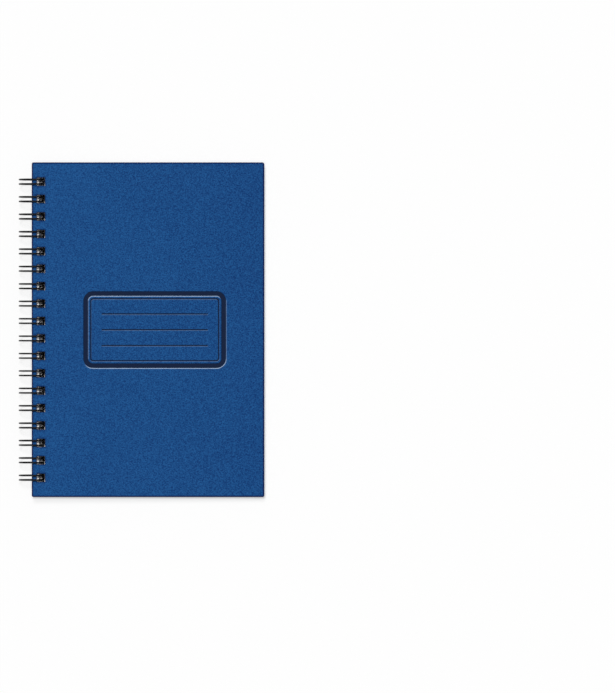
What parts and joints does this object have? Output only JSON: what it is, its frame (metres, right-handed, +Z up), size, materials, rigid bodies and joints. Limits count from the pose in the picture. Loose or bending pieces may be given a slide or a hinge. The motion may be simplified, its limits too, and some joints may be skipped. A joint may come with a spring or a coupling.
{
  "type": "wire-bound hardcover notebook",
  "caption": "Closed hardcover notebook with blue textured covers and ruled pages, bound along its long side by a black double-loop wire; both covers swing open.",
  "frame": {"origin": "centre of the footprint of the closed notebook, wire included, at the level of the loops' lowest points", "axes": "+X from the spine to the fore edge, +Y to the head of the pages, +Z up out of the front cover"},
  "size_m": [0.1792, 0.244, 0.0188],
  "materials": {
    "cover_blue": "satin",
    "greyboard": "matte",
    "liner_paper": "matte",
    "page_paper": "matte",
    "wire_black": "satin"
  },
  "bodies": {
    "bound_pages": {"page_block": "page_paper", "wire_binding": "wire_black"},
    "front_cover": {"front_wrap": "cover_blue", "front_board": "greyboard", "front_liner": "liner_paper"},
    "back_cover": {"back_wrap": "cover_blue", "back_board": "greyboard", "back_liner": "liner_paper"}
  },
  "joints": [
    {"name": "front_cover_hinge", "type": "hinge", "parent": "bound_pages", "child": "front_cover", "pos_m": [-0.08025, 0, 0.0094], "axis": [0, -1, 0], "range_deg": [0, 180]},
    {"name": "back_cover_hinge", "type": "hinge", "parent": "bound_pages", "child": "back_cover", "pos_m": [-0.08025, 0, 0.0094], "axis": [0, 1, 0], "range_deg": [0, 180]}
  ]
}
